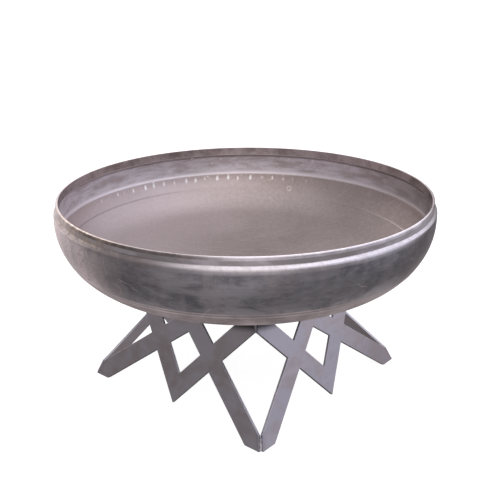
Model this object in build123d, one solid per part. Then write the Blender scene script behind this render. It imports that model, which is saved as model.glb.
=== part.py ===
from build123d import *
import math
import os

# Fire pit: a pressed steel bowl resting on a square base of four leaning, lattice-cut plates.
# Millimetres. +Z is up, the floor is z = 0 and the origin is the middle of the base on the floor.
# The base plates face -Y, +X, +Y and -X.

# ---- driving dimensions ----
THICKNESS = 6.35        # the bowl and the base plates are the same gauge of steel

BODY_R = 457.2          # outer radius of the bowl's straight wall
JOGGLE = 6.8            # how far the rim band steps in from the wall
RIM_TOP_Z = 480.0       # top of the rim above the floor
RIM_BAND = 19.0         # height of the rim band above its shoulder
WALL = 16.7             # straight wall between the shoulder and the knuckle
KNUCKLE_R = 0.34 * BODY_R
CROWN_R = 1.80 * BODY_R

BASE_SIDE = 558.5       # side of the square where the plates' outer faces meet the floor
LEAN = 20.6             # lean of each plate from the vertical, degrees
STRIP = 45.8            # width of every strip of the lattice
FOOT_RISE = 39.8        # slope of the two strips that rise from the feet, degrees
CROSS_RISE = 50.7       # slope of the two strips that rise from the plate's middle, degrees
FOOT_INSIDE = 230.5     # from the plate's midline to the inner end of each foot
TIP_HEIGHT = 16.4       # from the floor line up the plate to where the two strips start
BLANK_HEIGHT = 320.0    # up the plate, before its top edge is cut to the bowl

SEAT_GAP = 0.3          # between the bowl and the plates' edges that carry it
SEAM_GAP = 0.15         # between a plate's inner corner and the mitre plane
BEAD_FILL = 0.88        # share of the open seam's depth that a bead fills
BEAD_END = 1.5          # a bead stops this far from the end of its seam
BEAD_TO_BOWL = 1.5      # and this far from the bowl

# ---- worked out from them ----
RIM_R = BODY_R - JOGGLE
SHOULDER_TOP_Z = RIM_TOP_Z - RIM_BAND
SHOULDER_Z = SHOULDER_TOP_Z - JOGGLE
TANGENT_Z = SHOULDER_Z - WALL
KNUCKLE_CENTRE_R = BODY_R - KNUCKLE_R
CROWN_CENTRE_Z = TANGENT_Z + math.sqrt((CROWN_R - KNUCKLE_R) ** 2 - KNUCKLE_CENTRE_R ** 2)
CROWN_ANGLE = math.asin(KNUCKLE_CENTRE_R / (CROWN_R - KNUCKLE_R))

SIN_LEAN = math.sin(math.radians(LEAN))
COS_LEAN = math.cos(math.radians(LEAN))
HALF_BEND = math.acos(SIN_LEAN ** 2) / 2            # half the turn from one plate to the next
SETBACK = THICKNESS * math.tan(HALF_BEND) + SEAM_GAP
EDGE_SLOPE = math.hypot(1, SIN_LEAN)                # length of a plate's side edge per unit up it
EDGE_X = BASE_SIDE / 2 - SETBACK * EDGE_SLOPE       # plate's side edge at the floor line
LAMBDA_LOW = FOOT_INSIDE * math.tan(math.radians(FOOT_RISE))

SIDES = {"front": 0, "right": 90, "back": 180, "left": 270}
CORNERS = {"front_right": 0, "back_right": 90, "back_left": 180, "front_left": 270}


def on_arc(centre, radius, angle):
    """Point on a circle in the (r, z) plane, with the angle measured from straight down."""
    return (centre[0] + radius * math.sin(angle), centre[1] - radius * math.cos(angle))


def bowl_skin(inset):
    """Edges of the bowl's outer skin (inset 0) or inner skin, from the axis to the rim."""
    crown_centre = (0, CROWN_CENTRE_Z)
    knuckle_centre = (KNUCKLE_CENTRE_R, TANGENT_Z)
    corner_drop = inset * math.tan(math.radians(22.5))
    bottom = on_arc(crown_centre, CROWN_R - inset, 0)
    crown_middle = on_arc(crown_centre, CROWN_R - inset, CROWN_ANGLE / 2)
    crown_end = on_arc(crown_centre, CROWN_R - inset, CROWN_ANGLE)
    knuckle_middle = on_arc(knuckle_centre, KNUCKLE_R - inset, (CROWN_ANGLE + math.pi / 2) / 2)
    wall_start = (BODY_R - inset, TANGENT_Z)
    shoulder = (BODY_R - inset, SHOULDER_Z - corner_drop)
    shoulder_top = (RIM_R - inset, SHOULDER_TOP_Z - corner_drop)
    rim = (RIM_R - inset, RIM_TOP_Z)
    edges = [
        ThreePointArc(bottom, crown_middle, crown_end),
        ThreePointArc(crown_end, knuckle_middle, wall_start),
        Line(wall_start, shoulder),
        Line(shoulder, shoulder_top),
        Line(shoulder_top, rim),
    ]
    return edges, bottom, rim


def make_bowl():
    outer, outer_bottom, outer_rim = bowl_skin(0)
    inner, inner_bottom, inner_rim = bowl_skin(THICKNESS)
    ends = [Line(outer_bottom, inner_bottom), Line(outer_rim, inner_rim)]
    section = Plane.XZ * make_face(outer + inner + ends)
    return revolve(section, Axis.Z, 360)


def under_bowl(clearance):
    """Ball that the crown is part of, grown by the clearance."""
    return Pos(0, 0, CROWN_CENTRE_Z) * Sphere(CROWN_R + clearance)


def above(height):
    """Everything near the base that is higher than a height."""
    room = Box(2 * BASE_SIDE, 2 * BASE_SIDE, BASE_SIDE, align=(Align.CENTER, Align.CENTER, Align.MIN))
    return Pos(0, 0, height) * room


def chevron(middle, slope):
    """Two strips that meet on the midline and rise away from it, or fall where the slope is negative."""
    rise = BASE_SIDE * math.tan(math.radians(slope))
    width = STRIP / math.cos(math.radians(slope))
    return Polygon(
        (-BASE_SIDE, middle + rise),
        (0, middle),
        (BASE_SIDE, middle + rise),
        (BASE_SIDE, middle + rise + width),
        (0, middle + width),
        (-BASE_SIDE, middle + rise + width),
        align=None,
    )


def make_plate():
    """Front plate: a lattice of crossing strips, cut to the seams, the floor and the bowl."""
    outline = Polygon(
        (-EDGE_X - SIN_LEAN * THICKNESS, -THICKNESS),
        (EDGE_X + SIN_LEAN * THICKNESS, -THICKNESS),
        (EDGE_X - SIN_LEAN * BLANK_HEIGHT, BLANK_HEIGHT),
        (-EDGE_X + SIN_LEAN * BLANK_HEIGHT, BLANK_HEIGHT),
        align=None,
    )
    lattice = chevron(LAMBDA_LOW, -FOOT_RISE) + chevron(TIP_HEIGHT, CROSS_RISE)
    face = Plane(origin=(0, -BASE_SIDE / 2, 0), x_dir=(1, 0, 0), z_dir=(0, -COS_LEAN, SIN_LEAN))
    blank = extrude(face * (outline & lattice), -THICKNESS)
    return (blank & above(0)) - under_bowl(SEAT_GAP)


def bead_prism(start, end):
    """Filling of the open seam at the front right corner, between two distances up the seam."""
    sin_half, cos_half = math.sin(HALF_BEND), math.cos(HALF_BEND)
    root = (SEAM_GAP * cos_half, -SETBACK * sin_half - THICKNESS * cos_half)
    depth = BEAD_FILL * THICKNESS
    outer = (root[0] + depth * sin_half, root[1] + depth * cos_half)
    section = Polygon(root, outer, (-outer[0], outer[1]), (-root[0], root[1]), align=None)
    seam = Vector(-SIN_LEAN, SIN_LEAN, COS_LEAN).normalized()
    foot = Vector(BASE_SIDE / 2, -BASE_SIDE / 2, 0)
    plane = Plane(origin=foot + seam * start, x_dir=(-1, -1, 0), z_dir=seam)
    return extrude(plane * section, end - start)


def up_seam(height):
    """Distance up the seam of the point of a plate's side edge at a height up the plate."""
    return height * EDGE_SLOPE + SETBACK * SIN_LEAN


def make_foot_bead():
    slope = math.tan(math.radians(FOOT_RISE))
    strip_top = LAMBDA_LOW + STRIP / math.cos(math.radians(FOOT_RISE))
    seam_top = (strip_top - slope * EDGE_X) / (1 - slope * SIN_LEAN)
    return bead_prism(-THICKNESS, up_seam(seam_top) - BEAD_END) & above(BEAD_END)


def make_top_bead():
    slope = math.tan(math.radians(CROSS_RISE))
    seam_bottom = (TIP_HEIGHT + slope * EDGE_X) / (1 + slope * SIN_LEAN)
    bead = bead_prism(up_seam(seam_bottom) + BEAD_END, BLANK_HEIGHT)
    return bead - under_bowl(BEAD_TO_BOWL)


def write(shape, node):
    export_step(shape, f"parts/{node}.step")


os.makedirs("parts", exist_ok=True)
write(make_bowl(), "bowl")

plate = make_plate()
for side, turn in SIDES.items():
    write(Rot(0, 0, turn) * plate, f"base_plate_{side}")

foot_bead = make_foot_bead()
top_bead = make_top_bead()
for corner, turn in CORNERS.items():
    write(Rot(0, 0, turn) * foot_bead, f"foot_weld_{corner}")
    write(Rot(0, 0, turn) * top_bead, f"top_weld_{corner}")
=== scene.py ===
import bpy
import math
import random
from mathutils import Matrix, Vector, noise


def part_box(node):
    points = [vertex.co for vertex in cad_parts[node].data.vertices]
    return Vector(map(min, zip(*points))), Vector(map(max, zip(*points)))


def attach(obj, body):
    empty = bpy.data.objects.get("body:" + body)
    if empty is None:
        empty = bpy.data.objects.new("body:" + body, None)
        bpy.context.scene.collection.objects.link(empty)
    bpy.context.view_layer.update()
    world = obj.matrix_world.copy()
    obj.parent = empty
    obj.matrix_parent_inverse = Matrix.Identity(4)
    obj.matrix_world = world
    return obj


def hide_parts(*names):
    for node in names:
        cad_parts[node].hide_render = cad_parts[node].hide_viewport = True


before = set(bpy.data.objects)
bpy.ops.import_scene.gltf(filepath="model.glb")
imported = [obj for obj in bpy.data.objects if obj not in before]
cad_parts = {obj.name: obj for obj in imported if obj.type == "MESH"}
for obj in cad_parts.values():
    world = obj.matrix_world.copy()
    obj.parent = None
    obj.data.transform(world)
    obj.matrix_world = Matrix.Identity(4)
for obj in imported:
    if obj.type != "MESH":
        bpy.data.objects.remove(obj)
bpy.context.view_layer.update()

# ---------------------------------------------------------------- sizes, in metres

THICKNESS = 0.00635
JOGGLE = 0.0068             # the rim band stands in from the wall
RIM_BAND = 0.019
WALL = 0.0167
KNUCKLE_SHARE = 0.34        # of the body's radius
CROWN_SHARE = 1.80

BASE_SIDE = 0.5585
LEAN = math.radians(20.6)

BOWL_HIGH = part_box("bowl")[1]
BODY_R = min(BOWL_HIGH[0], BOWL_HIGH[1])
RIM_Z = BOWL_HIGH[2]
RIM_R = BODY_R - JOGGLE
KNUCKLE_R = KNUCKLE_SHARE * BODY_R
CROWN_R = CROWN_SHARE * BODY_R
SHOULDER_TOP_Z = RIM_Z - RIM_BAND
SHOULDER_Z = SHOULDER_TOP_Z - JOGGLE
TANGENT_Z = SHOULDER_Z - WALL
KNUCKLE_CENTRE_R = BODY_R - KNUCKLE_R
CROWN_CENTRE_Z = TANGENT_Z + math.sqrt((CROWN_R - KNUCKLE_R) ** 2 - KNUCKLE_CENTRE_R ** 2)
CROWN_ANGLE = math.asin(KNUCKLE_CENTRE_R / (CROWN_R - KNUCKLE_R))

# ---------------------------------------------------------------- mesh helpers


def new_mesh_object(name, points, faces, materials, face_materials=None):
    mesh = bpy.data.meshes.new(name)
    mesh.from_pydata([tuple(p) for p in points], [], faces)
    for material in materials:
        mesh.materials.append(material)
    if face_materials:
        mesh.polygons.foreach_set("material_index", face_materials)
    mesh.polygons.foreach_set("use_smooth", [True] * len(mesh.polygons))
    mesh.update()
    piece = bpy.data.objects.new(name, mesh)
    bpy.context.scene.collection.objects.link(piece)
    return piece


def weighted_normals(piece):
    modifier = piece.modifiers.new("weighted", "WEIGHTED_NORMAL")
    modifier.keep_sharp = True
    modifier.weight = 50


def rounded(before, corner, after, radius, steps):
    """Points of the arc that rounds a corner of a polyline in the (r, z) plane."""
    corner = Vector(corner)
    toward_before = (Vector(before) - corner).normalized()
    toward_after = (Vector(after) - corner).normalized()
    half = toward_before.angle(toward_after) / 2
    reach = radius / math.tan(half)
    centre = corner + (toward_before + toward_after).normalized() * (radius / math.sin(half))
    start = corner + toward_before * reach - centre
    end = corner + toward_after * reach - centre
    turn = start.angle_signed(end)
    points = []
    for step in range(steps + 1):
        angle = -turn * step / steps
        spin = Vector((
            start.x * math.cos(angle) - start.y * math.sin(angle),
            start.x * math.sin(angle) + start.y * math.cos(angle),
        ))
        points.append(tuple(centre + spin))
    return points


# ---------------------------------------------------------------- the bowl

BOWL_TURNS = 588            # points round the bowl
CROWN_RINGS = 15
KNUCKLE_STEP = math.radians(2.4)
FINE_STEP = math.radians(0.30)
FINE_REACH = 5              # fine rings each side of a line or of the row of dents
CORNER_STEPS = 5
WALL_STEP = 0.006
BROAD_WAVE = 0.00050        # depth of the sheet's shallow waves
FINE_WAVE = 0.00014
OUTSIDE, RIM, INSIDE = 0, 1, 2

# Heights of the lines left round the sheet by the forming rolls
OUTSIDE_LINE_Z = 0.3405
OUTSIDE_BAND_Z = 0.3445     # between the two outside lines
INSIDE_LINE_Z = 0.3440
BRIGHT_LINE_Z = 0.4055
LEFT_LINE_Z = 0.3630
SHOULDER_CREST_Z = 0.4590
BAND_FOOT_Z = 0.4575        # crease between the inner wall and the rim band

# The same lines as relief: (height, half width, how far it stands out)
OUTSIDE_LINES = [(OUTSIDE_LINE_Z, 0.0022, 0.00040), (0.3490, 0.0018, 0.00022)]
INSIDE_LINES = [(INSIDE_LINE_Z, 0.0030, 0.00055), (BRIGHT_LINE_Z, 0.0040, -0.00050)]

POINTS_PER_MARK = 7
FORMING_MARKS = BOWL_TURNS // POINTS_PER_MARK   # dents left round the knuckle by the forming rolls
MARK_HEIGHT = 0.3895
MARK_HALF_WIDTH = 0.0038
MARK_HALF_HEIGHT = 0.0060
MARK_DEPTH = 0.0008
MARKS_MIDDLE = math.radians(152)    # the dents are deepest and their painted glints brightest here, both faint on the far side
MARKS_REACH = math.radians(44)


def arc_points(centre, radius, angles):
    """Points on an arc in the (r, z) plane, with angles measured from straight down."""
    return [(centre[0] + radius * math.sin(a), centre[1] - radius * math.cos(a)) for a in angles]


def crown_skin(radius):
    angles = [CROWN_ANGLE * i / CROWN_RINGS for i in range(CROWN_RINGS + 1)]
    return arc_points((0, CROWN_CENTRE_Z), radius, angles)


def knuckle_skin(radius, fine_heights):
    """Knuckle from the crown up to the wall, with rings close together at each of the heights."""
    count = round((math.pi / 2 - CROWN_ANGLE) / KNUCKLE_STEP)
    angles = [CROWN_ANGLE + (math.pi / 2 - CROWN_ANGLE) * i / count for i in range(1, count + 1)]
    for height in fine_heights:
        middle = math.acos((TANGENT_Z - height) / radius)
        angles = [a for a in angles if abs(a - middle) > FINE_STEP * (FINE_REACH + 1)]
        angles += [middle + FINE_STEP * k for k in range(-FINE_REACH, FINE_REACH + 1)]
    return arc_points((KNUCKLE_CENTRE_R, TANGENT_Z), radius, sorted(angles))


def bowl_section():
    """Outline of the section, as (r, z, zone), from under the bowl over the rim to the inside."""
    drop = THICKNESS * math.tan(math.radians(22.5))
    inner_r, inner_rim_r = BODY_R - THICKNESS, RIM_R - THICKNESS
    outer = crown_skin(CROWN_R) + knuckle_skin(KNUCKLE_R, [OUTSIDE_BAND_Z])
    inner = crown_skin(CROWN_R - THICKNESS)
    inner += knuckle_skin(KNUCKLE_R - THICKNESS, [INSIDE_LINE_Z, MARK_HEIGHT, BRIGHT_LINE_Z])
    outline = [(r, z, OUTSIDE) for r, z in outer]
    # (r, z, radius of the rounding, zone) of each corner
    corners = [
        (BODY_R, SHOULDER_Z, 0.0065, OUTSIDE),
        (RIM_R, SHOULDER_TOP_Z, 0.0028, OUTSIDE),
        (RIM_R, RIM_Z, 0.0024, RIM),
        (inner_rim_r, RIM_Z, 0.0009, RIM),
        (inner_rim_r, SHOULDER_TOP_Z - drop, 0.0040, INSIDE),
        (inner_r, SHOULDER_Z - drop, 0.0028, INSIDE),
    ]
    stops = [outer[-1]] + [corner[:2] for corner in corners] + [inner[-1]]
    for i, (r, z, radius, zone) in enumerate(corners):
        arc = rounded(stops[i], (r, z), stops[i + 2], radius, CORNER_STEPS)
        start, end = Vector(outline[-1][:2]), Vector(arc[0])
        steps = max(1, round((end - start).length / WALL_STEP))
        between = [start.lerp(end, k / steps) for k in range(1, steps)]
        outline += [(p.x, p.y, outline[-1][2]) for p in between]
        outline += [(x, y, zone) for x, y in arc]
    return outline + [(r, z, INSIDE) for r, z in reversed(inner)]


def forming_marks():
    """(turn, height, strength) of each dent, unevenly spaced and unevenly deep."""
    draw = random.Random(7)
    marks = []
    for i in range(FORMING_MARKS):
        turn = 2 * math.pi * (POINTS_PER_MARK * i + draw.choice((-1, 0, 0, 1))) / BOWL_TURNS
        away = (turn - MARKS_MIDDLE + math.pi) % (2 * math.pi) - math.pi
        strength = 0.12 + 0.88 * math.exp(-(away / MARKS_REACH) ** 4)
        height = MARK_HEIGHT + draw.uniform(-0.002, 0.002)
        marks.append((turn, height, strength * draw.uniform(0.35, 1.0)))
    return marks


MARKS = forming_marks()


def mark_at(turn, r, z):
    """Strength of the forming dents at a point of the inner skin, from 0 to about 1."""
    if abs(z - MARK_HEIGHT) > 4 * MARK_HALF_HEIGHT:
        return 0
    nearest = round(turn / (2 * math.pi) * FORMING_MARKS)
    total = 0
    for i in (nearest - 1, nearest, nearest + 1):
        mark_turn, mark_z, strength = MARKS[i % FORMING_MARKS]
        gap = (turn - mark_turn + math.pi) % (2 * math.pi) - math.pi
        across = gap * r / MARK_HALF_WIDTH
        up = (z - mark_z) / MARK_HALF_HEIGHT
        total += strength * math.exp(-across ** 2 - up ** 4)
    return total


def line_relief(lines, z):
    return sum(out * math.exp(-((z - height) / half) ** 2) for height, half, out in lines)


def unevenness(turn, r, z):
    """Shallow waves of the pressed sheet, never outward of the true shape."""
    direction = Vector((math.cos(turn), math.sin(turn), 0))
    broad = noise.noise(direction * (r * 7) + Vector((0, 0, z * 7)))
    fine = noise.noise(direction * (r * 26) + Vector((3, 5, z * 26)))
    return BROAD_WAVE * (broad - 1) / 2 + FINE_WAVE * (fine - 1) / 2


def make_bowl(materials):
    outline = bowl_section()
    last = len(outline) - 1
    points, rings, dent_glint = [], [], []
    for i, (r, z, zone) in enumerate(outline):
        if i in (0, last):
            rings.append([len(points)] * BOWL_TURNS)
            points.append((0, 0, z))
            dent_glint.append(0)
            continue
        before, after = Vector(outline[i - 1][:2]), Vector(outline[i + 1][:2])
        along = (after - before).normalized()
        outward = Vector((along.y, -along.x))
        knuckle = z < TANGENT_Z
        lines = (INSIDE_LINES if zone == INSIDE else OUTSIDE_LINES) if knuckle else []
        relief = line_relief(lines, z)
        ring = []
        for k in range(BOWL_TURNS):
            turn = 2 * math.pi * k / BOWL_TURNS
            mark = mark_at(turn, r, z) if knuckle and zone == INSIDE else 0
            wave = unevenness(turn, r, z) * (-1 if zone == INSIDE else 1)
            here = Vector((r, z)) + outward * (wave + relief - mark * MARK_DEPTH)
            ring.append(len(points))
            points.append((here.x * math.cos(turn), here.x * math.sin(turn), min(here.y, RIM_Z)))
            dent_glint.append(mark)
        rings.append(ring)
    faces, face_materials = [], []
    for i in range(last):
        zones = (outline[i][2], outline[i + 1][2])
        zone = RIM if RIM in zones else max(zones)
        for k in range(BOWL_TURNS):
            n = (k + 1) % BOWL_TURNS
            quad = (rings[i][k], rings[i][n], rings[i + 1][n], rings[i + 1][k])
            faces.append(tuple(dict.fromkeys(quad)))
            face_materials.append(zone)
    piece = new_mesh_object("fire_bowl", points, faces, materials, face_materials)
    piece.data.attributes.new("dent_glint", "FLOAT", "POINT").data.foreach_set("value", dent_glint)
    weighted_normals(piece)
    return piece


# ---------------------------------------------------------------- materials

# Directions of single features, in degrees from +X towards +Y
GROUND_TURN = -103          # spot ground on the rim
SCRAPED_TURN = -124
STAMP_TURN = 113


class Graph:
    """A material's nodes, with short calls for what the steel needs."""

    def __init__(self, name):
        self.material = bpy.data.materials.new(name)
        self.material.use_nodes = True
        self.tree = self.material.node_tree
        self.tree.nodes.clear()
        self.out = self.tree.nodes.new("ShaderNodeOutputMaterial")
        self.shader = self.tree.nodes.new("ShaderNodeBsdfPrincipled")
        self.link(self.shader.outputs[0], self.out.inputs["Surface"])
        self.position = self.tree.nodes.new("ShaderNodeTexCoord").outputs["Object"]

    def link(self, source, target):
        self.tree.links.new(source, target)

    def put(self, socket, value):
        if isinstance(value, bpy.types.NodeSocket):
            self.link(value, socket)
        else:
            socket.default_value = value

    def math(self, operation, *values, clamp=False):
        node = self.tree.nodes.new("ShaderNodeMath")
        node.operation = operation
        node.use_clamp = clamp
        for socket, value in zip(node.inputs, values):
            self.put(socket, value)
        return node.outputs[0]

    def times(self, first, second):
        return self.math("MULTIPLY", first, second)

    def plus(self, first, second, clamp=False):
        return self.math("ADD", first, second, clamp=clamp)

    def less(self, first, second):
        return self.math("SUBTRACT", first, second)

    def inverse(self, value):
        return self.less(1.0, value)

    def split(self, vector):
        node = self.tree.nodes.new("ShaderNodeSeparateXYZ")
        self.put(node.inputs[0], vector)
        return node.outputs

    def join(self, x, y, z):
        node = self.tree.nodes.new("ShaderNodeCombineXYZ")
        for socket, value in zip(node.inputs, (x, y, z)):
            self.put(socket, value)
        return node.outputs[0]

    def noise(self, vector, scale, detail=3, roughness=0.55, distortion=0.0):
        node = self.tree.nodes.new("ShaderNodeTexNoise")
        self.put(node.inputs["Vector"], vector)
        node.inputs["Scale"].default_value = scale
        node.inputs["Detail"].default_value = detail
        node.inputs["Roughness"].default_value = roughness
        node.inputs["Distortion"].default_value = distortion
        return node.outputs["Fac"]

    def spread(self, value, low, high, to_low=0.0, to_high=1.0):
        """Maps low..high onto to_low..to_high, smoothly and without passing them."""
        node = self.tree.nodes.new("ShaderNodeMapRange")
        node.interpolation_type = "SMOOTHSTEP"
        for socket, number in zip(node.inputs, (value, low, high, to_low, to_high)):
            self.put(socket, number)
        return node.outputs[0]

    def mix(self, share, first, second):
        node = self.tree.nodes.new("ShaderNodeMix")
        node.data_type = "RGBA"
        self.put(node.inputs["Factor"], share)
        self.put(node.inputs["A"], first if isinstance(first, bpy.types.NodeSocket) else (*first, 1))
        self.put(node.inputs["B"], second if isinstance(second, bpy.types.NodeSocket) else (*second, 1))
        return node.outputs["Result"]

    def finish(self, color, rough, height, bump=0.1, distance=0.001):
        self.put(self.shader.inputs["Base Color"], color)
        self.put(self.shader.inputs["Roughness"], rough)
        self.shader.inputs["Metallic"].default_value = 1.0
        node = self.tree.nodes.new("ShaderNodeBump")
        node.inputs["Strength"].default_value = bump
        node.inputs["Distance"].default_value = distance
        self.link(height, node.inputs["Height"])
        self.link(node.outputs[0], self.shader.inputs["Normal"])
        return self.material

    def hairlines(self, vector, scale, width, distortion=0.6):
        """Thin wandering scratches, 1 on each and 0 between them."""
        field = self.noise(vector, scale, 2, 0.5, distortion)
        off = self.math("ABSOLUTE", self.less(field, 0.5))
        line = self.inverse(self.spread(off, width * 0.3, width))
        where = self.noise(vector, scale * 2.3, 2, 0.5)
        return self.times(line, self.spread(where, 0.50, 0.62))

    def vector(self, operation, first, second):
        node = self.tree.nodes.new("ShaderNodeVectorMath")
        node.operation = operation
        self.put(node.inputs[0], first)
        self.put(node.inputs["Scale" if operation == "SCALE" else 1], second)
        return node.outputs["Value" if operation in ("DOT_PRODUCT", "DISTANCE") else "Vector"]

    def scratch(self, start, end, half_width):
        """1 along a straight scratch between two points and 0 a half width away from it."""
        along = end - start
        offset = self.vector("SUBTRACT", self.position, start)
        dot = self.vector("DOT_PRODUCT", offset, along)
        share = self.math("DIVIDE", dot, along.length_squared, clamp=True)
        gap = self.vector("DISTANCE", offset, self.vector("SCALE", along, share))
        return self.inverse(self.spread(gap, half_width * 0.4, half_width))

    def scratches(self, lines, half_width):
        """All of the scratches in a list of lines, each a list of points."""
        total = 0.0
        for line in lines:
            for start, end in zip(line, line[1:]):
                total = self.math("MAXIMUM", total, self.scratch(start, end, half_width))
        return total

    def speckle(self, scale, low, high):
        return self.spread(self.noise(self.position, scale, 2, 0.5), low, high)

    def belt(self, value, middle, inner, outer):
        """1 within inner of the middle, falling to 0 at outer from it."""
        off = self.math("ABSOLUTE", self.less(value, middle))
        return self.inverse(self.spread(off, inner, outer))


def turned(graph):
    """Radius, height and the unit direction round the bowl's axis."""
    x, y, z = graph.split(graph.position)
    radius = graph.math("SQRT", graph.plus(graph.times(x, x), graph.times(y, y)))
    safe = graph.math("MAXIMUM", radius, 0.001)
    return radius, z, graph.math("DIVIDE", x, safe), graph.math("DIVIDE", y, safe)


def facing(graph, cx, cy, degrees, inner, outer):
    """1 on the part of the ring round one direction, from +X towards +Y, and 0 away from it."""
    angle = math.radians(degrees)
    dot = graph.plus(graph.times(cx, math.cos(angle)), graph.times(cy, math.sin(angle)))
    return graph.spread(dot, math.cos(math.radians(outer)), math.cos(math.radians(inner)))


def wrapped(graph, cx, cy, z, round_scale, up_scale):
    """Coordinates that stretch a pattern round the bowl or up it."""
    return graph.join(
        graph.times(cx, round_scale),
        graph.times(cy, round_scale),
        graph.times(z, up_scale),
    )


def on_skin(degrees, height, inset=0):
    """Point on the wall or the knuckle, at a turn from +X towards +Y and a height."""
    drop = max(0, TANGENT_Z - height)
    r = KNUCKLE_CENTRE_R + math.sqrt((KNUCKLE_R - inset) ** 2 - drop ** 2)
    return Vector((r * math.cos(math.radians(degrees)), r * math.sin(math.radians(degrees)), height))


def outside_scratches():
    """Single scratches at the front, then short upright ones on the scraped left of it."""
    lines = [
        [on_skin(-58.5, 0.366), on_skin(-60.0, 0.356), on_skin(-60.7, 0.348), on_skin(-65.1, 0.321)],
        [on_skin(-20.0, 0.400), on_skin(-18.5, 0.391), on_skin(-16.5, 0.386)],
        [on_skin(-84.0, 0.405), on_skin(-80.5, 0.398), on_skin(-78.5, 0.386)],
    ]
    draw = random.Random(11)
    for _ in range(5):
        turn, top = draw.uniform(-124, -88), draw.uniform(0.40, 0.44)
        end = on_skin(turn + draw.uniform(-1.5, 1.5), top - draw.uniform(0.015, 0.045))
        lines.append([on_skin(turn, top), end])
    return lines


def inside_scratches():
    """Slanting scuffs on the right of the knuckle, and a few long fine ones elsewhere."""
    draw = random.Random(5)
    lines = []
    for _ in range(12):
        turn, top = draw.uniform(56, 90), draw.uniform(0.372, 0.398)
        drop = draw.uniform(0.012, 0.030)
        lines.append([on_skin(turn, top, THICKNESS), on_skin(turn + drop * 130, top - drop, THICKNESS)])
    for _ in range(5):
        turn, top = draw.uniform(120, 190), draw.uniform(0.365, 0.395)
        end = on_skin(turn + draw.uniform(2, 5), top - 0.006, THICKNESS)
        lines.append([on_skin(turn, top, THICKNESS), end])
    return lines


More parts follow.
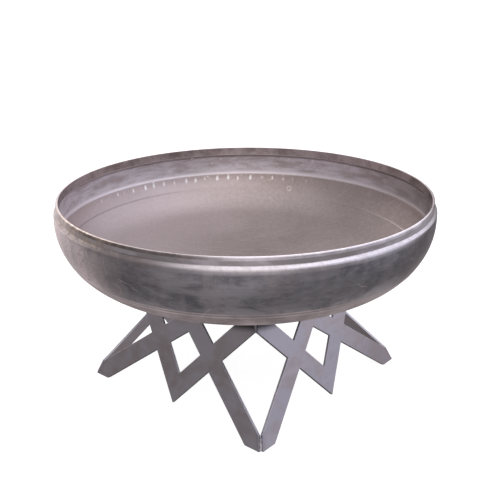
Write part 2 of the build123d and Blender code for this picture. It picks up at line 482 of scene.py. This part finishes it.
def outside_steel():
    g = Graph("steel_bowl_outside")
    radius, z, cx, cy = turned(g)
    hoops = g.noise(wrapped(g, cx, cy, z, 1.0, 60.0), 2.2, 4, 0.6)
    fine_hoops = g.noise(wrapped(g, cx, cy, z, 1.0, 300.0), 3.0, 3, 0.7)
    smudges = g.noise(wrapped(g, cx, cy, z, 2.2, 13.0), 1.5, 6, 0.66, 0.35)
    uprights = g.noise(wrapped(g, cx, cy, z, 16.0, 5.0), 1.2, 5, 0.65, 0.2)
    clouds = g.noise(g.position, 7.0, 6, 0.65, 0.5)
    grain = g.noise(g.position, 90.0, 4, 0.65)

    color = g.mix(g.spread(smudges, 0.40, 0.60), (0.22, 0.222, 0.245), (0.46, 0.455, 0.48))
    color = g.mix(g.spread(uprights, 0.46, 0.72, 0.0, 0.55), color, (0.48, 0.45, 0.46))
    color = g.mix(g.spread(clouds, 0.50, 0.72, 0.0, 0.60), color, (0.36, 0.30, 0.29))
    color = g.mix(g.spread(hoops, 0.50, 0.75, 0.0, 0.30), color, (0.22, 0.21, 0.22))

    scraped = g.times(facing(g, cx, cy, SCRAPED_TURN, 26, 44), g.spread(uprights, 0.30, 0.58, 0.40, 1.0))
    color = g.mix(scraped, color, (0.93, 0.82, 0.82))
    weave = g.noise(wrapped(g, cx, cy, z, 40.0, 150.0), 1.4, 5, 0.72)
    color = g.mix(g.times(scraped, g.spread(weave, 0.52, 0.36, 0.0, 0.60)), color, (0.30, 0.265, 0.265))
    color = g.mix(g.times(facing(g, cx, cy, -84, 3, 13), 0.38), color, (0.17, 0.165, 0.175))
    shaded = g.times(facing(g, cx, cy, -26, 6, 30), g.spread(z, 0.350, 0.385))
    color = g.mix(g.times(shaded, 0.40), color, (0.17, 0.172, 0.195))
    color = g.mix(g.spread(weave, 0.54, 0.68, 0.0, 0.22), color, (0.60, 0.58, 0.60))
    # Painted shade: the far right of the outside wall, round +26°, darkened
    color = g.mix(g.times(facing(g, cx, cy, 26, 16, 40), 0.90), color, (0.15, 0.135, 0.14))

    crown = g.inverse(g.spread(z, 0.3370, 0.3580))
    color = g.mix(crown, color, g.mix(g.spread(clouds, 0.40, 0.62), (0.34, 0.29, 0.29), (0.44, 0.38, 0.38)))
    scuffed = g.noise(wrapped(g, cx, cy, z, 9.0, 55.0), 2.0, 6, 0.7, 0.3)
    color = g.mix(g.spread(scuffed, 0.50, 0.72, 0.0, 0.45), color, (0.52, 0.50, 0.53))
    color = g.mix(g.spread(scuffed, 0.48, 0.30, 0.0, 0.40), color, (0.20, 0.19, 0.20))
    # Painted shade: the underside inside the base's footprint, where no light reaches, made near black
    under = g.inverse(g.spread(radius, 0.235, 0.300))
    color = g.mix(under, color, (0.07, 0.065, 0.065))
    upper_line = g.belt(z, 0.3485, 0.0004, 0.0026)
    low_lines = g.plus(g.belt(z, OUTSIDE_LINE_Z, 0.0008, 0.0036), upper_line, clamp=True)
    color = g.mix(g.times(low_lines, g.spread(clouds, 0.38, 0.60, 0.30, 0.80)), color, (0.78, 0.72, 0.72))

    # Shoulder crest: smoother polish, plus a painted highlight that is bright towards -20° and dim
    # elsewhere, with a painted tail below it towards -50°
    lit = facing(g, cx, cy, -20, 34, 58)
    tail = g.times(g.belt(z, 0.4550, 0.0040, 0.0130), facing(g, cx, cy, -50, 35, 62))
    tail = g.times(tail, 0.55)
    polish_and_highlight = g.math("MAXIMUM", g.belt(z, SHOULDER_CREST_Z, 0.0022, 0.0050), tail)
    bright = g.mix(lit, (0.34, 0.30, 0.30), (0.86, 0.83, 0.86))
    color = g.mix(polish_and_highlight, color, g.mix(g.spread(grain, 0.42, 0.62, 0.0, 0.35), bright, (0.52, 0.47, 0.48)))
    band = g.spread(z, 0.4625, 0.4640)
    band_color = g.mix(g.spread(smudges, 0.42, 0.60), (0.44, 0.41, 0.42), (0.64, 0.61, 0.64))
    color = g.mix(band, color, band_color)

    ground = g.times(facing(g, cx, cy, GROUND_TURN, 7, 22), g.spread(z, 0.452, 0.462))
    ground = g.times(ground, g.speckle(110.0, 0.32, 0.70))
    color = g.mix(ground, color, (0.66, 0.56, 0.48))
    hairs = g.hairlines(g.position, 3.2, 0.0016, 0.3)
    color = g.mix(g.times(hairs, 0.40), color, (0.74, 0.66, 0.62))
    cuts = g.times(g.scratches(outside_scratches(), 0.0013), g.spread(clouds, 0.35, 0.60, 0.30, 0.60))
    color = g.mix(cuts, color, (0.76, 0.69, 0.67))

    rough = g.spread(g.plus(clouds, uprights), 0.7, 1.3, 0.36, 0.50)
    rough = g.less(rough, g.times(polish_and_highlight, 0.10))
    rough = g.plus(rough, g.times(scraped, 0.08))
    height = g.plus(g.times(fine_hoops, 0.5), g.plus(hoops, smudges))
    height = g.plus(height, g.plus(g.times(grain, 0.5), g.times(ground, 0.4)))
    return g.finish(color, rough, height, 0.16, 0.0008)


def rim_steel():
    g = Graph("steel_rim_polished")
    _, z, cx, cy = turned(g)
    hoops = g.noise(wrapped(g, cx, cy, z, 1.0, 400.0), 3.0, 3, 0.7)
    patches = g.noise(g.position, 22.0, 5, 0.65)
    # Painted light: the rim gets a lit copy of its colour towards -22°, a lighter copy at the back round
    # 130° and a dark copy elsewhere
    lit = facing(g, cx, cy, -22, 26, 44)
    dark = g.mix(g.spread(patches, 0.40, 0.62), (0.20, 0.172, 0.167), (0.38, 0.335, 0.33))
    light = g.mix(g.spread(patches, 0.35, 0.65), (0.72, 0.69, 0.73), (0.94, 0.91, 0.95))
    color = g.mix(lit, dark, light)
    back = facing(g, cx, cy, 130, 70, 100)
    back_color = g.mix(g.spread(patches, 0.40, 0.62), (0.38, 0.335, 0.33), (0.56, 0.505, 0.51))
    color = g.mix(back, color, back_color)
    ground_part = facing(g, cx, cy, GROUND_TURN, 7, 24)
    color = g.mix(g.times(ground_part, 0.7), color, (0.26, 0.215, 0.19))
    ground = g.times(ground_part, g.speckle(110.0, 0.34, 0.72))
    color = g.mix(ground, color, (0.56, 0.47, 0.40))
    rough = g.spread(patches, 0.3, 0.7, 0.26, 0.42)
    height = g.plus(hoops, g.times(ground, 0.5))
    return g.finish(color, rough, height, 0.14, 0.0005)


def inside_steel():
    g = Graph("steel_bowl_inside")
    radius, z, cx, cy = turned(g)
    along = g.plus(radius, g.times(z, 0.8))
    rings = g.noise(wrapped(g, cx, cy, along, 1.0, 70.0), 1.6, 4, 0.6)
    fine = g.noise(wrapped(g, cx, cy, along, 1.0, 420.0), 2.4, 3, 0.7)
    clouds = g.noise(g.position, 4.0, 6, 0.62, 0.5)
    blotches = g.noise(g.position, 16.0, 5, 0.66, 0.4)
    grain = g.noise(g.position, 120.0, 3, 0.6)
    x, y, _ = g.split(g.position)
    grained = g.join(g.times(g.plus(x, y), 12.0), g.times(g.less(x, y), 90.0), z)
    brushed = g.noise(grained, 1.0, 6, 0.72, 0.2)

    color = g.mix(g.spread(clouds, 0.35, 0.65), (0.47, 0.405, 0.39), (0.55, 0.485, 0.47))
    floor_part = g.inverse(g.spread(radius, 0.28, 0.39))
    light_grain = g.times(floor_part, g.spread(brushed, 0.45, 0.70, 0.0, 0.36))
    dark_grain = g.times(floor_part, g.spread(brushed, 0.50, 0.30, 0.0, 0.28))
    color = g.mix(light_grain, color, (0.66, 0.60, 0.59))
    color = g.mix(dark_grain, color, (0.34, 0.285, 0.27))
    color = g.mix(g.spread(blotches, 0.50, 0.72, 0.0, 0.18), color, (0.42, 0.34, 0.315))
    color = g.mix(g.spread(rings, 0.45, 0.75, 0.0, 0.20), color, (0.56, 0.52, 0.52))
    color = g.mix(g.less(0.20, g.spread(radius, 0.05, 0.33, 0.0, 0.20)), color, (0.20, 0.17, 0.165))
    shade = g.times(facing(g, cx, cy, 15, 15, 70), g.spread(radius, 0.10, 0.36, 0.0, 0.55))
    shade_color = g.mix(g.spread(blotches, 0.38, 0.62), (0.28, 0.235, 0.22), (0.42, 0.36, 0.35))
    color = g.mix(shade, color, shade_color)
    color = g.mix(g.spread(grain, 0.48, 0.66, 0.0, 0.20), color, (0.36, 0.30, 0.285))
    color = g.mix(g.spread(grain, 0.46, 0.32, 0.0, 0.16), color, (0.70, 0.64, 0.63))
    glow = g.times(facing(g, cx, cy, -170, 25, 70), g.spread(radius, 0.14, 0.34, 0.0, 0.50))
    color = g.mix(glow, color, (0.66, 0.58, 0.575))
    sheen = g.times(facing(g, cx, cy, 150, 5, 30), g.belt(z, 0.3770, 0.0040, 0.0180))
    color = g.mix(g.times(sheen, 0.18), color, (0.92, 0.85, 0.84))
    scuffs = g.hairlines(wrapped(g, cx, cy, z, 3.0, 9.0), 2.6, 0.010, 0.2)
    scuffs = g.times(scuffs, facing(g, cx, cy, 30, 15, 55))
    color = g.mix(g.times(scuffs, 0.30), color, (0.70, 0.66, 0.64))

    patches = g.noise(wrapped(g, cx, cy, z, 3.4, 26.0), 1.5, 6, 0.68, 0.4)
    wall = g.mix(g.spread(patches, 0.36, 0.60), (0.58, 0.535, 0.55), (0.80, 0.79, 0.84))
    worn_wall = g.noise(wrapped(g, cx, cy, z, 6.0, 90.0), 1.6, 6, 0.72, 0.2)
    wall = g.mix(g.spread(worn_wall, 0.50, 0.68, 0.0, 0.42), wall, (0.46, 0.405, 0.40))
    wall = g.mix(g.spread(worn_wall, 0.42, 0.28, 0.0, 0.60), wall, (0.90, 0.89, 0.93))
    # Painted shade: darker copies of the inner wall and the rim band on the right, round +20°
    on_right = facing(g, cx, cy, 20, 20, 70)
    right_wall = g.mix(g.spread(patches, 0.36, 0.62), (0.38, 0.345, 0.35), (0.52, 0.48, 0.49))
    wall = g.mix(on_right, wall, right_wall)
    color = g.mix(g.spread(z, 0.400, 0.410), color, wall)
    band = g.mix(g.spread(patches, 0.36, 0.64), (0.78, 0.71, 0.71), (0.97, 0.92, 0.93))
    band = g.mix(g.times(on_right, 0.72), band, (0.32, 0.28, 0.28))
    color = g.mix(g.spread(z, 0.4545, 0.4565), color, band)
    # Painted highlight: a light line along the middle of the inner rim band
    color = g.mix(g.times(g.belt(z, 0.4700, 0.0012, 0.0040), 0.5), color, (0.84, 0.78, 0.79))
    # Painted shadow in the crease between the inner wall and the rim band
    crease_shade = g.times(g.belt(z, BAND_FOOT_Z, 0.0006, 0.0026), g.spread(patches, 0.35, 0.60, 0.25, 0.55))
    color = g.mix(crease_shade, color, (0.09, 0.075, 0.07))

    away = g.inverse(facing(g, cx, cy, 25, 20, 70))
    line = g.times(g.belt(z, BRIGHT_LINE_Z, 0.0016, 0.0075), g.spread(away, 0.0, 1.0, 0.35, 0.95))
    color = g.mix(line, color, (0.96, 0.94, 0.98))
    ring_line = g.times(g.belt(z, INSIDE_LINE_Z, 0.0006, 0.0022), facing(g, cx, cy, 25, 20, 62))
    color = g.mix(g.times(ring_line, 0.75), color, (0.80, 0.75, 0.73))
    left_line = g.times(g.belt(z, LEFT_LINE_Z, 0.0008, 0.0026), facing(g, cx, cy, -165, 15, 50))
    color = g.mix(g.times(left_line, 0.36), color, (0.20, 0.165, 0.155))

    # Painted glints: near-white colour on the forming dents, strongest round MARKS_MIDDLE
    mark = g.tree.nodes.new("ShaderNodeAttribute")
    mark.attribute_name = "dent_glint"
    color = g.mix(g.spread(mark.outputs["Fac"], 0.10, 0.60), color, (0.99, 0.98, 0.98))
    fleck_part = g.times(facing(g, cx, cy, 140, 20, 60), g.spread(z, 0.38, 0.40))
    flecks = g.times(g.speckle(75.0, 0.66, 0.72), fleck_part)
    color = g.mix(g.times(flecks, 0.8), color, (0.97, 0.96, 0.98))
    cuts = g.times(g.scratches(inside_scratches(), 0.0014), g.spread(blotches, 0.38, 0.60, 0.0, 0.42))
    color = g.mix(cuts, color, (0.82, 0.77, 0.75))
    stamp = g.vector("DISTANCE", g.position, on_skin(STAMP_TURN, LEFT_LINE_Z, THICKNESS))
    stamp_ring = g.times(g.belt(stamp, 0.0065, 0.0008, 0.0030), g.spread(grain, 0.40, 0.60, 0.2, 0.7))
    color = g.mix(stamp_ring, color, (0.86, 0.82, 0.80))

    rough = g.spread(g.plus(clouds, g.times(grain, 0.4)), 0.5, 0.9, 0.44, 0.56)
    height = g.plus(g.times(fine, 0.4), g.plus(rings, g.times(grain, 0.4)))
    height = g.plus(height, g.times(blotches, 0.8))
    return g.finish(color, rough, height, 0.14, 0.0008)


def plate_steel():
    g = Graph("steel_plate")
    x, y, z = g.split(g.position)
    clouds = g.noise(g.position, 9.0, 6, 0.64, 0.5)
    blotches = g.noise(g.position, 26.0, 5, 0.66, 0.3)
    grain = g.noise(g.position, 160.0, 3, 0.6)
    streaks = g.noise(g.join(g.times(x, 5.0), g.times(y, 5.0), g.times(z, 50.0)), 1.0, 5, 0.65)
    color = g.mix(g.spread(clouds, 0.36, 0.62), (0.36, 0.32, 0.32), (0.43, 0.42, 0.46))
    color = g.mix(g.spread(streaks, 0.48, 0.72, 0.0, 0.45), color, (0.50, 0.485, 0.52))
    color = g.mix(g.spread(blotches, 0.52, 0.76, 0.0, 0.40), color, (0.33, 0.26, 0.245))
    color = g.mix(g.spread(z, 0.10, 0.22, 0.0, 0.28), color, (0.62, 0.60, 0.64))
    scratches = g.hairlines(g.position, 6.0, 0.002, 0.3)
    color = g.mix(g.times(scratches, 0.35), color, (0.62, 0.60, 0.62))

    # Cut edges: darker oxide, with painted shade on the edges facing down and painted highlight on those
    # facing up
    geometry = g.tree.nodes.new("ShaderNodeNewGeometry")
    nz = g.split(geometry.outputs["True Normal"])[2]
    off_face = g.math("ABSOLUTE", g.less(g.math("ABSOLUTE", nz), math.sin(LEAN)))
    edge = g.spread(off_face, 0.05, 0.15)
    cut_oxide_and_shade = g.mix(g.spread(nz, -0.1, 0.35), (0.045, 0.042, 0.045), (0.78, 0.78, 0.84))
    cut_lines = g.noise(g.join(g.times(x, 900.0), g.times(y, 900.0), g.times(z, 900.0)), 1.0, 2)
    cut_oxide_and_shade = g.mix(g.spread(cut_lines, 0.4, 0.7, 0.0, 0.3), cut_oxide_and_shade, (0.20, 0.19, 0.19))
    color = g.mix(edge, color, cut_oxide_and_shade)

    far_foot = g.times(g.spread(y, 0.08, 0.22), g.spread(z, 0.13, 0.03))
    color = g.mix(g.times(far_foot, 0.45), color, (0.25, 0.215, 0.215))

    heat_low = g.inverse(g.spread(z, 0.030, 0.048))
    heat_high = g.spread(z, 0.205, 0.225)
    seam = g.math("ABSOLUTE", g.less(g.math("ABSOLUTE", x), g.math("ABSOLUTE", y)))
    heat = g.times(g.math("MAXIMUM", heat_low, heat_high), g.inverse(g.spread(seam, 0.008, 0.026)))
    tint = g.mix(g.spread(seam, 0.008, 0.020), (0.20, 0.19, 0.26), (0.46, 0.34, 0.26))
    color = g.mix(g.times(heat, 0.28), color, tint)

    # Painted shade: the plates near black within a few centimetres below the bowl's underside
    reach = g.plus(g.times(x, x), g.times(y, y))
    skin = g.less(CROWN_CENTRE_Z, g.math("SQRT", g.less(CROWN_R ** 2, reach)))
    contact_shade = g.spread(g.less(skin, z), 0.007, 0.030)
    color = g.mix(contact_shade, (0.035, 0.032, 0.033), color)
    rough = g.plus(g.spread(clouds, 0.3, 0.7, 0.38, 0.50), g.times(edge, 0.04))
    height = g.plus(clouds, g.plus(g.times(grain, 0.5), g.times(streaks, 0.6)))
    return g.finish(color, rough, height, 0.16, 0.0008)


def weld_steel():
    g = Graph("steel_weld")
    clouds = g.noise(g.position, 140.0, 4, 0.6)
    fine = g.noise(g.position, 900.0, 3, 0.6)
    color = g.mix(g.spread(clouds, 0.35, 0.65), (0.26, 0.25, 0.27), (0.52, 0.51, 0.54))
    color = g.mix(g.spread(fine, 0.55, 0.75, 0.0, 0.5), color, (0.30, 0.25, 0.22))
    z = g.split(g.position)[2]
    # Painted shade: the top beads darkened up near the bowl
    color = g.mix(g.spread(z, 0.190, 0.215, 0.0, 0.7), color, (0.10, 0.095, 0.10))
    return g.finish(color, g.spread(clouds, 0.3, 0.7, 0.28, 0.44), fine, 0.2, 0.0003)


# ---------------------------------------------------------------- the weld beads

HALF_BEND = math.acos(math.sin(LEAN) ** 2) / 2
SEAM = Vector((-math.sin(LEAN), math.sin(LEAN), math.cos(LEAN))).normalized()
ACROSS = Vector((-1, -1, 0)).normalized()
SEAM_GAP = 0.00015
SEAM_SETBACK = THICKNESS * math.tan(HALF_BEND) + SEAM_GAP

# (across, outward) of the right corners of the bead's section, at its root and at its toe
ROOT = (0.00011, -SEAM_SETBACK * math.sin(HALF_BEND) - THICKNESS * math.cos(HALF_BEND))
TOE_DEPTH = 0.78 * THICKNESS
TOE = (ROOT[0] + TOE_DEPTH * math.sin(HALF_BEND), ROOT[1] + TOE_DEPTH * math.cos(HALF_BEND))
BEAD_CROWN = 0.0009
BEAD_WIDTH = 0.94           # share of the seam's width
RIPPLE_PITCH = 0.0021
RIPPLE_DEPTH = 0.00032
BEAD_STEP = 0.00030
BEAD_INSET = 0.0015         # the bead stops short of the CAD bead's ends
BEAD_POINTS = 13            # points across its outer face
BEAD_TAPER = 0.0022         # length of its rounded ends
BEAD_WANDERS = 40           # uneven ripples before they repeat
CORNERS = {"front_right": 0, "back_right": 90, "back_left": 180, "front_left": 270}


def make_bead(node, corner, material):
    """A rippled bead along one corner's seam, between the ends of the CAD bead."""
    low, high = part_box(node)
    first, last = (low[2] + BEAD_INSET) / SEAM.z, (high[2] - BEAD_INSET) / SEAM.z
    outward = SEAM.cross(ACROSS)
    foot = Vector((BASE_SIDE / 2, -BASE_SIDE / 2, 0))
    spin = Matrix.Rotation(math.radians(CORNERS[corner]), 3, "Z")
    draw = random.Random(node)
    wander = [draw.uniform(-0.2, 0.2) for _ in range(BEAD_WANDERS)]
    stations = round((last - first) / BEAD_STEP)
    points, faces = [], []
    for i in range(stations + 1):
        run = (last - first) * i / stations
        taper = min(1, math.sqrt(min(run, last - first - run) / BEAD_TAPER))
        section = [(-ROOT[0], ROOT[1])]
        for k in range(BEAD_POINTS):
            share = 2 * k / (BEAD_POINTS - 1) - 1
            phase = run / RIPPLE_PITCH + 0.45 * share ** 2
            step = int(phase)
            scale = (phase - step) ** 0.6
            rise = BEAD_CROWN * (1 - share ** 2) + RIPPLE_DEPTH * (scale - 1) * (1 - 0.4 * share ** 2)
            rise += RIPPLE_DEPTH * wander[step % BEAD_WANDERS] * (1 - share ** 2)
            depth = TOE[1] - BEAD_CROWN * (1 - taper) + rise * taper
            width = TOE[0] * (0.80 + 0.20 * taper) * (1 + 0.05 * wander[step % BEAD_WANDERS]) * BEAD_WIDTH
            section.append((share * width, depth))
        section.append((ROOT[0], ROOT[1]))
        base = len(points)
        for x, y in section:
            point = foot + SEAM * (first + run) + ACROSS * x + outward * y
            point += SEAM * (max(0, low[2] - point.z) / SEAM.z)
            points.append(spin @ point)
        if i:
            count = len(section)
            for k in range(count):
                n = (k + 1) % count
                faces.append((base - count + k, base - count + n, base + n, base + k))
    faces.append(tuple(range(BEAD_POINTS + 1, -1, -1)))
    faces.append(tuple(range(len(points) - BEAD_POINTS - 2, len(points))))
    piece = new_mesh_object("bead_" + node, points, faces, [material])
    weighted_normals(piece)
    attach(piece, "base")
    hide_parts(node)


bowl = make_bowl([outside_steel(), rim_steel(), inside_steel()])
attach(bowl, "bowl")
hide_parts("bowl")

MERGE_GAP = 0.00001
EDGE_BEVEL = 0.0006
plate_material = plate_steel()
for side in ("front", "right", "back", "left"):
    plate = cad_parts["base_plate_" + side]
    plate.data.materials.clear()
    plate.data.materials.append(plate_material)
    join = plate.modifiers.new("join", "WELD")
    join.merge_threshold = MERGE_GAP
    bevel = plate.modifiers.new("bevel", "BEVEL")
    bevel.width = EDGE_BEVEL
    bevel.segments = 2
    bevel.limit_method = "ANGLE"
    bevel.angle_limit = math.radians(35)
    weighted_normals(plate)

weld_material = weld_steel()
for corner in CORNERS:
    make_bead("foot_weld_" + corner, corner, weld_material)
    make_bead("top_weld_" + corner, corner, weld_material)

# ---------------------------------------------------------------- floor, light and camera

COVE_TURNS = 48
COVE_START = 30             # level floor out to here, then it curves up into a backdrop
COVE_RADIUS = 30
COVE_STEPS = 16


def make_floor():
    profile = [(COVE_START, 0)]
    for i in range(1, COVE_STEPS + 1):
        rise = math.pi / 2 * i / COVE_STEPS
        profile.append((COVE_START + COVE_RADIUS * math.sin(rise), COVE_RADIUS * (1 - math.cos(rise))))
    points, faces = [(0, 0, 0)], []
    for r, z in profile:
        for k in range(COVE_TURNS):
            turn = 2 * math.pi * k / COVE_TURNS
            points.append((r * math.cos(turn), r * math.sin(turn), z))
    for k in range(COVE_TURNS):
        n = (k + 1) % COVE_TURNS
        faces.append((0, 1 + k, 1 + n))
        for ring in range(len(profile) - 1):
            low, high = 1 + ring * COVE_TURNS, 1 + (ring + 1) * COVE_TURNS
            faces.append((low + k, high + k, high + n, low + n))
    return new_mesh_object("floor", points, faces, [])


floor = make_floor()
paper = bpy.data.materials.new("floor_paper")
paper.use_nodes = True
paper_shader = paper.node_tree.nodes["Principled BSDF"]
paper_shader.inputs["Base Color"].default_value = (0.40, 0.40, 0.40, 1)
paper_shader.inputs["Roughness"].default_value = 0.9
paper_shader.inputs["Emission Color"].default_value = (1, 1, 1, 1)
paper_shader.inputs["Emission Strength"].default_value = 0.88
floor.data.materials.append(paper)
floor.visible_glossy = False


def soft_light(name, place, target, width, height, power):
    light = bpy.data.lights.new(name, "AREA")
    light.shape = "RECTANGLE"
    light.size, light.size_y = width, height
    light.energy = power
    lamp = bpy.data.objects.new(name, light)
    bpy.context.scene.collection.objects.link(lamp)
    lamp.location = place
    aim = (Vector(target) - Vector(place)).to_track_quat("-Z", "Y")
    lamp.rotation_euler = aim.to_euler()
    return lamp


overhead = soft_light("overhead", (0, 0, 3.2), (0, 0, 0), 4.0, 4.0, 60)
overhead.visible_glossy = False

# Studio panels: turn from -Y towards +X, rise, inner and outer half width, all in degrees, then colour
PANELS = [
    (44, 66, 14, 42, (0.60, 0.58, 0.61)),
    (40, 24, 14, 40, (0.52, 0.46, 0.44)),
    (40, -14, 10, 34, (0.30, 0.28, 0.30)),
    (226, 24, 12, 34, (1.24, 1.20, 1.26)),
    (130, 28, 22, 55, (0.62, 0.62, 0.74)),
    (-105, 8, 14, 44, (1.05, 0.98, 0.98)),
    (220, -45, 20, 52, (0.40, 0.36, 0.36)),
]
SKY_STOPS = [
    (-90, (0.29, 0.27, 0.28)),
    (-25, (0.30, 0.28, 0.29)),
    (5, (0.36, 0.34, 0.35)),
    (40, (0.42, 0.40, 0.41)),
    (90, (0.50, 0.48, 0.49)),
]


def studio_world():
    world = bpy.data.worlds.new("studio")
    world.use_nodes = True
    tree = world.node_tree
    direction = tree.nodes.new("ShaderNodeTexCoord").outputs["Generated"]
    height = tree.nodes.new("ShaderNodeSeparateXYZ")
    tree.links.new(direction, height.inputs[0])
    angle = tree.nodes.new("ShaderNodeMath")
    angle.operation = "ARCSINE"
    tree.links.new(height.outputs[2], angle.inputs[0])
    share = tree.nodes.new("ShaderNodeMapRange")
    share.inputs["From Min"].default_value = -math.pi / 2
    share.inputs["From Max"].default_value = math.pi / 2
    tree.links.new(angle.outputs[0], share.inputs["Value"])
    sky = tree.nodes.new("ShaderNodeValToRGB")
    ramp = sky.color_ramp
    while len(ramp.elements) < len(SKY_STOPS):
        ramp.elements.new(0.5)
    for element, (degrees, color) in zip(ramp.elements, SKY_STOPS):
        element.position = (degrees + 90) / 180
        element.color = (*color, 1)
    tree.links.new(share.outputs[0], sky.inputs[0])
    total = sky.outputs[0]
    for turn, rise, inner, outer, color in PANELS:
        turn, rise = math.radians(turn), math.radians(rise)
        toward = (math.sin(turn) * math.cos(rise), -math.cos(turn) * math.cos(rise), math.sin(rise))
        dot = tree.nodes.new("ShaderNodeVectorMath")
        dot.operation = "DOT_PRODUCT"
        tree.links.new(direction, dot.inputs[0])
        dot.inputs[1].default_value = toward
        inside = tree.nodes.new("ShaderNodeMapRange")
        inside.interpolation_type = "SMOOTHSTEP"
        inside.inputs["From Min"].default_value = math.cos(math.radians(outer))
        inside.inputs["From Max"].default_value = math.cos(math.radians(inner))
        tree.links.new(dot.outputs["Value"], inside.inputs["Value"])
        lit = tree.nodes.new("ShaderNodeVectorMath")
        lit.operation = "SCALE"
        lit.inputs[0].default_value = color
        tree.links.new(inside.outputs[0], lit.inputs["Scale"])
        both = tree.nodes.new("ShaderNodeVectorMath")
        both.operation = "ADD"
        tree.links.new(total, both.inputs[0])
        tree.links.new(lit.outputs[0], both.inputs[1])
        total = both.outputs[0]
    tree.links.new(total, tree.nodes["Background"].inputs["Color"])
    return world


bpy.context.scene.world = studio_world()

CAMERA_AZIMUTH = math.radians(40.53)    # from -Y towards +X
CAMERA_REACH = 1.822                    # level distance from the axis
CAMERA_HEIGHT = 1.0157
CAMERA_YAW = math.radians(-40.20)
CAMERA_PITCH = math.radians(20.78)
CAMERA_ROLL = math.radians(-0.29)
LENS = 56.2

camera_data = bpy.data.cameras.new("camera")
camera_data.lens = LENS
camera_data.sensor_width = 36
camera = bpy.data.objects.new("camera", camera_data)
bpy.context.scene.collection.objects.link(camera)
camera.location = (
    CAMERA_REACH * math.sin(CAMERA_AZIMUTH),
    -CAMERA_REACH * math.cos(CAMERA_AZIMUTH),
    CAMERA_HEIGHT,
)
turn = Matrix.Rotation(-CAMERA_YAW, 3, "Z")
tilt = Matrix.Rotation(math.pi / 2 - CAMERA_PITCH, 3, "X")
roll = Matrix.Rotation(CAMERA_ROLL, 3, "Z")
camera.rotation_euler = (turn @ tilt @ roll).to_euler()
bpy.context.scene.camera = camera
bpy.context.scene.view_settings.view_transform = "Standard"
